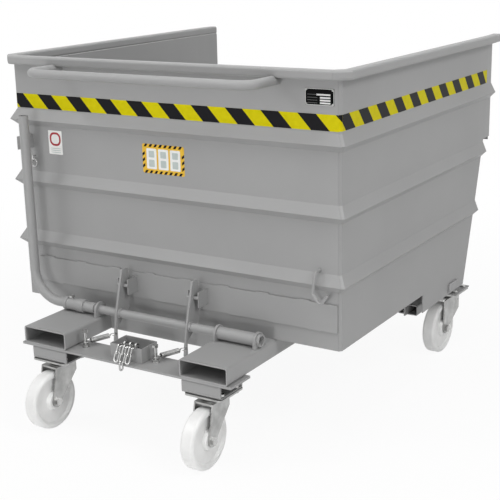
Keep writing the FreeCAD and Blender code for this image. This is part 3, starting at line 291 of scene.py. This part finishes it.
def roundedOutline(x0, x1, z0, z1, corner, steps=5):    # millimetres, on a plane facing the handle side
    spots = []
    middles = [(x1 - corner, z1 - corner, 0), (x0 + corner, z1 - corner, 90),
               (x0 + corner, z0 + corner, 180), (x1 - corner, z0 + corner, 270)]
    for mx, mz, start in middles:
        for i in range(steps + 1):
            turn = math.radians(start + 90 * i / steps)
            spots.append((mx + corner * math.cos(turn), mz + corner * math.sin(turn)))
    return spots


def wallPatch(bm, outline, lift, thickness):    # flat patch on the handle wall
    slab(bm, [at(x, -lift, z) for x, z in outline], Vector((0, -thickness / 1000, 0)))


def wallRing(bm, outer, inner, lift, thickness):    # flat frame on the handle wall
    far = lift + thickness
    rings = [[at(x, -lift, z) for x, z in outer], [at(x, -far, z) for x, z in outer],
             [at(x, -far, z) for x, z in inner], [at(x, -lift, z) for x, z in inner]]
    sweepRings(bm, rings, closed=True)


# hazard tape round the walls, yellow film with black bars

tape = {"film": 0.25, "ink": 0.12, "bar": 64, "height": 50}
tapeRuns = {
    "rear": {"path": [(-642, 0), (642, 0)], "out": [(0, -1), (0, -1)],
             "low": 694, "first": -32.7, "pitch": 130.7, "lean": 47},
    "right": {"path": [(642, 0), (650, 8), (650, 1150), (648.1, 1232)],
              "out": [(0.4, -1), (1, -0.4), (1, 0.01), (1, 0.02)],
              "low": 695, "first": -8.7, "pitch": 125.5, "lean": 42},
    "left": {"path": [(-642, 0), (-650, 8), (-650, 1150), (-648.1, 1232)],
             "out": [(-0.4, -1), (-1, -0.4), (-1, 0.01), (-1, 0.02)],
             "low": 695, "first": 29, "pitch": 125.5, "lean": -42},
}


def clipRun(spots, low, high):    # keep the part of a polygon between two lengths along the run
    for limit, sign in ((low, 1), (high, -1)):
        kept = []
        for (s0, z0), (s1, z1) in zip(spots, spots[1:] + spots[:1]):
            in0 = (s0 - limit) * sign >= 0
            in1 = (s1 - limit) * sign >= 0
            if in0:
                kept.append((s0, z0))
            if in0 != in1:
                share = (limit - s0) / (s1 - s0)
                kept.append((limit, z0 + (z1 - z0) * share))
        spots = kept
    return spots


def tapeRun(name, run):
    path, pitch, lean = run["path"], run["pitch"], run["lean"]
    low, high = run["low"], run["low"] + tape["height"]
    thick, wide = tape["film"], tape["bar"]
    film = bmesh.new()
    rings = []
    for (x, y), (ox, oy) in zip(path, run["out"]):
        farX, farY = x + ox * thick, y + oy * thick
        rings.append([at(x, y, low), at(x, y, high), at(farX, farY, high), at(farX, farY, low)])
    sweepRings(film, rings)
    addPiece("hazard_tape_" + name, film, yellowFilm, "hopper")
    bars = bmesh.new()
    start = 0.0
    for a, b, (ox, oy) in zip(path, path[1:], run["out"][1:]):
        length = math.dist(a, b)
        along = ((b[0] - a[0]) / length, (b[1] - a[1]) / length)
        face = Vector((along[1], -along[0], 0))
        face = face if face.x * ox + face.y * oy > 0 else -face    # away from the wall
        s = run["first"] - pitch
        while s < start + length + pitch:
            bar = [(s, high), (s + wide, high), (s + wide + lean, low), (s + lean, low)]
            kept = clipRun(bar, start, start + length)
            if len(kept) > 2:
                spots = [at(a[0] + along[0] * (t - start), a[1] + along[1] * (t - start), z) for t, z in kept]
                slab(bars, [spot + face * thick / 1000 for spot in spots], face * tape["ink"] / 1000)
            s += pitch
        start += length
    addPiece("hazard_bars_" + name, bars, blackInk, "hopper")


for name, run in tapeRuns.items():
    tapeRun(name, run)
print("hazard tape laid")


# two blank stickers on the handle wall

smallLabel = {"x": (-506, -444), "z": (536, 620), "film": 0.25, "ink": 0.1, "corner": 3,
              "frame": (-500, -450, 566, 614), "frameWidth": 7, "frameCorners": (20, 14),
              "rules": (543, 550, 557), "ruleInset": 3, "ruleHalf": 1.2, "ruleCorner": 1}
wideLabel = {"x": (-93, 77), "z": (506, 605), "film": 0.25, "ink": 0.1, "corner": 6, "border": 10,
             "panels": ((-76, -35), (-28, 13), (20, 61)), "panelZ": (521, 590), "panelCorner": 4,
             "patches": ((560, 582), (528, 552)), "patchInset": 9, "patchCorner": 3,
             "bar": 10, "barPitch": 20, "barLean": 0.7}


def blankSmallLabel():
    film = bmesh.new()
    wallPatch(film, roundedOutline(*smallLabel["x"], *smallLabel["z"], smallLabel["corner"]), 0, smallLabel["film"])
    addPiece("small_label", film, whiteVinyl, "hopper")
    x0, x1, z0, z1 = smallLabel["frame"]
    w, lift, ink = [smallLabel[k] for k in ("frameWidth", "film", "ink")]
    outer, inner = smallLabel["frameCorners"]
    ring = bmesh.new()
    wallRing(ring, roundedOutline(x0, x1, z0, z1, outer), roundedOutline(x0 + w, x1 - w, z0 + w, z1 - w, inner),
             lift, ink)
    addPiece("small_label_frame", ring, redInk, "hopper")
    rules = bmesh.new()
    inset, half, corner = [smallLabel[k] for k in ("ruleInset", "ruleHalf", "ruleCorner")]
    for z in smallLabel["rules"]:
        wallPatch(rules, roundedOutline(x0 + inset, x1 - inset, z - half, z + half, corner), lift, ink)
    addPiece("small_label_rules", rules, greyInk, "hopper")


def blankWideLabel():
    (x0, x1), (z0, z1) = wideLabel["x"], wideLabel["z"]
    lift, ink, corner = [wideLabel[k] for k in ("film", "ink", "corner")]
    film = bmesh.new()
    wallPatch(film, roundedOutline(x0, x1, z0, z1, corner), 0, lift)
    addPiece("wide_label", film, amberInk, "hopper")
    panels = bmesh.new()
    for a, b in wideLabel["panels"]:
        wallPatch(panels, roundedOutline(a, b, *wideLabel["panelZ"], wideLabel["panelCorner"]), lift, ink)
    addPiece("wide_label_panels", panels, whiteVinyl, "hopper")
    patches = bmesh.new()
    inset = wideLabel["patchInset"]
    for a, b in wideLabel["panels"]:
        for low, high in wideLabel["patches"]:
            outline = roundedOutline(a + inset, b - inset, low, high, wideLabel["patchCorner"])
            wallPatch(patches, outline, lift + ink, ink)
    addPiece("wide_label_patches", patches, greyInk, "hopper")
    bars = bmesh.new()
    w, bar, pitch = [wideLabel[k] for k in ("border", "bar", "barPitch")]
    lean = w * wideLabel["barLean"]
    x = x0 + corner
    while x + bar + w < x1:
        for low in (z0, z1 - w):
            wallPatch(bars, [(x, low), (x + bar, low), (x + bar + lean, low + w), (x + lean, low + w)], lift, ink)
        x += pitch
    z = z0 + w + corner
    while z + bar + w < z1 - w:
        for low in (x0, x1 - w):
            wallPatch(bars, [(low, z), (low + w, z + lean), (low + w, z + lean + bar), (low, z + bar)], lift, ink)
        z += pitch
    addPiece("wide_label_bars", bars, blackInk, "hopper")


blankSmallLabel()
blankWideLabel()
print("labels laid")


# blank fields on the type plate

plateFields = {"proud": 0.12, "border": 1.6, "borderInset": 0.2, "corners": (3, 2), "rows": (802, 793, 785, 777),
               "x": (580, 615), "firstLonger": 12, "half": 2.5, "corner": 0.8,
               "rules": (537, 571), "ruleHalf": 0.7, "ruleCorner": 0.5, "steps": 2}


def typePlateFields():
    low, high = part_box("type_plate")
    front = (wallY - low.y) * 1000
    (x0, z0), (x1, z1) = [(v.x * 1000, (v.z - deckZ) * 1000) for v in (low, high)]
    proud, steps, half, thin = [plateFields[k] for k in ("proud", "steps", "half", "ruleHalf")]
    outlines = []
    for inset, corner in zip((plateFields["borderInset"], plateFields["border"]), plateFields["corners"]):
        outlines.append(roundedOutline(x0 + inset, x1 - inset, z0 + inset, z1 - inset, corner))
    edge = bmesh.new()
    wallRing(edge, *outlines, front, proud)
    addPiece("type_plate_border", edge, paleInk, "hopper")
    fields = bmesh.new()
    left, right = plateFields["x"]
    for i, z in enumerate(plateFields["rows"]):
        start = left - (plateFields["firstLonger"] if i == 0 else 0)
        wallPatch(fields, roundedOutline(start, right, z - half, z + half, plateFields["corner"], steps), front, proud)
    addPiece("type_plate_fields", fields, paleInk, "hopper")
    rules = bmesh.new()
    for z in plateFields["rows"]:
        outline = roundedOutline(*plateFields["rules"], z - thin, z + thin, plateFields["ruleCorner"], steps)
        wallPatch(rules, outline, front, proud)
    addPiece("type_plate_rules", rules, dimInk, "hopper")


typePlateFields()
print("type plate printed blank")


# bare bores of the fork pockets and of the rear spacers, which the powder does not reach

bores = {"clear": 0.02, "skin": 0.12, "edge": 4, "pocketWall": 5, "pocketCorner": 4,
         "spacerWall": 5, "spacerCorner": 3, "spacerLength": 146}


def boreSkin(name, low, high, wall, corner, axis):    # thin tube just inside a rectangular tube's wall
    across = 1 - axis
    middle = (low + high) / 2 * 1000
    halfX, halfZ = (high[across] - low[across]) / 2 * 1000 - wall, (high.z - low.z) / 2 * 1000 - wall
    ends = (low[axis] + bores["edge"] / 1000, high[axis] - bores["edge"] / 1000)
    loops = []
    for inset in (bores["clear"], bores["skin"]):
        loops.append(roundedOutline(inset - halfX, halfX - inset, inset - halfZ, halfZ - inset, corner - inset))
    rings = []
    for outline, end in ((loops[0], 0), (loops[0], 1), (loops[1], 1), (loops[1], 0)):
        ring = []
        for a, b in outline:
            spot = Vector((0, 0, (middle.z + b) / 1000))
            spot[across] = (middle[across] + a) / 1000
            spot[axis] = ends[end]
            ring.append(spot)
        rings.append(ring)
    bm = bmesh.new()
    sweepRings(bm, rings, closed=True)
    addPiece(name, bm, boreOxide, "frame")


def lineBores():
    for side in ("left", "right"):
        boreSkin("pocket_bore_" + side, *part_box("fork_pocket_" + side), bores["pocketWall"], bores["pocketCorner"], 1)
    low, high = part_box("rear_spacers")
    length = bores["spacerLength"] / 1000
    for side, x in (("left", low.x), ("right", high.x - length)):
        boreSkin("spacer_bore_" + side, Vector((x, low.y, low.z)), Vector((x + length, high.y, high.z)),
                 bores["spacerWall"], bores["spacerCorner"], 0)


lineBores()
print("bores lined")


# weld beads under the paint

weld = {"ripple": 4.5, "step": 1.5, "sides": 8, "dip": 0.2, "tip": 0.45, "tipGrowth": 0.2, "smooth": 60,
        "footBead": 2.6, "footGap": 0.8, "footTurn": (155, 385), "footSteps": 18}
hopperWelds = {"doublerTop": 152, "doublerBottom": 60, "stitch": 46, "first": -560, "pitch": 151, "count": 8,
               "lowerShift": 38, "bead": 4.4, "brackets": (-158, 135), "bracketHalf": 23, "bracketFoot": 6}


def beadAlong(bm, spots, radius):    # rippled bead along a line of points in metres, with tapered tips
    samples = []
    travelled = 0.0
    for a, b in zip(spots, spots[1:]):
        length = (b - a).length * 1000
        count = max(1, round(length / weld["step"]))
        for i in range(count):
            samples.append((a.lerp(b, i / count), (b - a).normalized(), travelled + length * i / count))
        travelled += length
    samples.append((spots[-1], (spots[-1] - spots[-2]).normalized(), travelled))
    turns = [2 * math.pi * i / weld["sides"] for i in range(weld["sides"])]
    rings = []
    for place, run, s in samples:
        across = run.orthogonal().normalized()
        other = run.cross(across)
        wave = abs(math.sin(math.pi * s / weld["ripple"]))
        r = radius * (1 - weld["dip"] + weld["dip"] * wave) / 1000
        r *= min(1.0, weld["tip"] + weld["tipGrowth"] * min(s, travelled - s))
        rings.append([place + across * r * math.cos(t) + other * r * math.sin(t) for t in turns])
    sweepRings(bm, rings)


def footBead(bm, centre, radius):    # bead under a tube's foot on the handle wall, from one side to the other
    start, end = weld["footTurn"]
    steps = weld["footSteps"]
    turns = [math.radians(start + (end - start) * i / steps) for i in range(steps + 1)]
    size = (radius + weld["footGap"]) / 1000
    beadAlong(bm, [centre + Vector((math.cos(t), 0, math.sin(t))) * size for t in turns], weld["footBead"])


def weldHopper():
    bm = bmesh.new()
    w = hopperWelds
    depth = w["bead"] / -2
    for i in range(w["count"]):
        x = w["first"] + i * w["pitch"]
        for z, shift in ((w["doublerTop"], 0), (w["doublerBottom"], w["lowerShift"])):
            beadAlong(bm, [at(x + shift, depth, z), at(x + shift + w["stitch"], depth, z)], w["bead"])
    heights = [(v.z - deckZ) * 1000 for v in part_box("latch_brackets")]
    for x in w["brackets"]:
        for side in (-1, 1):
            beadAlong(bm, [at(x + side * w["bracketHalf"], -w["bracketFoot"], z) for z in heights], w["bead"] / 2)
    low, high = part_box("push_handle")
    radius = (high.z - low.z) / 2
    for side in (-1, 1):
        footBead(bm, Vector((side * (high.x - radius), wallY, low.z + radius)), radius * 1000)
    addPiece("hopper_welds", bm, paint, "hopper", smooth=weld["smooth"])


weldHopper()
print("welds laid")


# extension springs: same wound form as the solids, copied from them and smooth-shaded in place of the hidden originals

springs = {"left": {"post": (-197, -228), "eye": (-158, -116)}, "right": {"post": (96, -228), "eye": (135, -116)},
           "z": -42, "loop": 17, "merge": 1e-7, "smooth": 50}


def stretchSpring(side):
    node = nodes["spring_" + side]
    bm = bmesh.new()
    bm.from_mesh(node.data)
    bmesh.ops.remove_doubles(bm, verts=bm.verts, dist=springs["merge"])
    coil = addPiece("coil_" + side, bm, dullZinc, None, smooth=springs["smooth"])
    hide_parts("spring_" + side)
    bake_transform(coil)


for side in ("left", "right"):
    stretchSpring(side)


# studio

studio = {"floor": 40, "white": "#ffffff", "paper": "#f4f4f4", "skyStrength": 0.34, "show": 0.93,
          "near": 1.1, "far": 3.2}


def pureView(tree):    # 1 where the camera, a reflection or a see-through ray looks
    path = addNode(tree, "ShaderNodeLightPath")
    near = addNode(tree, "ShaderNodeMath", {"operation": "ADD", "use_clamp": True},
                   {0: path.outputs["Is Camera Ray"], 1: path.outputs["Is Glossy Ray"]})
    both = addNode(tree, "ShaderNodeMath", {"operation": "ADD", "use_clamp": True},
                   {0: near.outputs[0], 1: path.outputs["Is Transmission Ray"]})
    return both.outputs[0]


def setSky():
    bpy.context.scene.view_settings.view_transform = "Standard"
    world = bpy.data.worlds.new("whiteStudio")
    bpy.context.scene.world = world
    world.use_nodes = True
    tree = world.node_tree
    tree.nodes.clear()
    colour = linear(studio["white"])
    sky = addNode(tree, "ShaderNodeBackground", {"Color": colour, "Strength": studio["skyStrength"]})
    white = addNode(tree, "ShaderNodeBackground", {"Color": colour, "Strength": 1.0})
    mixed = addNode(tree, "ShaderNodeMixShader", {}, {0: pureView(tree), 1: sky.outputs[0], 2: white.outputs[0]})
    addNode(tree, "ShaderNodeOutputWorld", {}, {"Surface": mixed.outputs[0]})


def studioPaper():
    # matt white paper roll that keeps the shadow and turns to plain white away from the object, so no horizon shows
    material = bpy.data.materials.new("studioPaper")
    material.use_nodes = True
    tree = material.node_tree
    tree.nodes.clear()
    matt = addNode(tree, "ShaderNodeBsdfDiffuse", {"Color": linear(studio["paper"])})
    glow = addNode(tree, "ShaderNodeEmission", {"Color": linear(studio["white"]), "Strength": 1.0})
    spots = addNode(tree, "ShaderNodeTexCoord").outputs["Object"]
    reach = addNode(tree, "ShaderNodeVectorMath", {"operation": "LENGTH"}, {0: spots})
    fading = {"interpolation_type": "SMOOTHSTEP", "From Min": studio["near"], "From Max": studio["far"],
              "To Min": studio["show"], "To Max": 1.0}
    fade = addNode(tree, "ShaderNodeMapRange", fading, {"Value": reach.outputs["Value"]})
    part = addNode(tree, "ShaderNodeMath", {"operation": "MULTIPLY"}, {0: pureView(tree), 1: fade.outputs[0]})
    mixed = addNode(tree, "ShaderNodeMixShader", {}, {0: part.outputs[0], 1: matt.outputs[0], 2: glow.outputs[0]})
    addNode(tree, "ShaderNodeOutputMaterial", {}, {"Surface": mixed.outputs[0]})
    return material


def layFloor():
    bm = bmesh.new()
    half = studio["floor"] / 2
    corners = [bm.verts.new((x * half, y * half, 0)) for x, y in ((-1, -1), (1, -1), (1, 1), (-1, 1))]
    bm.faces.new(corners)
    mesh = bpy.data.meshes.new("studioFloor")
    bm.to_mesh(mesh)
    bm.free()
    floor = bpy.data.objects.new("studioFloor", mesh)
    bpy.context.scene.collection.objects.link(floor)
    mesh.materials.append(studioPaper())


lamps = {
    "overheadSoftbox": {"place": (0.2, -0.6, 4.6), "aim": (0, 0, 0.5), "size": 4.2, "power": 92},
    "leftSoftbox": {"place": (-3.6, -4.0, 5.2), "aim": (0, 0, 0.7), "size": 1.6, "power": 70},
    "rightSoftbox": {"place": (4.4, -1.2, 4.3), "aim": (0, 0.2, 0.7), "size": 1.8, "power": 86},
    "frontSoftbox": {"place": (0.6, -5.2, 0.6), "aim": (0, 0, 0.3), "size": 1.1, "power": 52},
}


def hangLamps():
    for name, lamp in lamps.items():
        data = bpy.data.lights.new(name, "AREA")
        data.shape = "SQUARE"
        data.size = lamp["size"]
        data.energy = lamp["power"]
        light = bpy.data.objects.new(name, data)
        away = Vector(lamp["place"]) - Vector(lamp["aim"])
        light.matrix_world = Matrix.Translation(lamp["place"]) @ away.to_track_quat("Z", "Y").to_matrix().to_4x4()
        bpy.context.scene.collection.objects.link(light)


setSky()
layFloor()
hangLamps()
print("studio set")
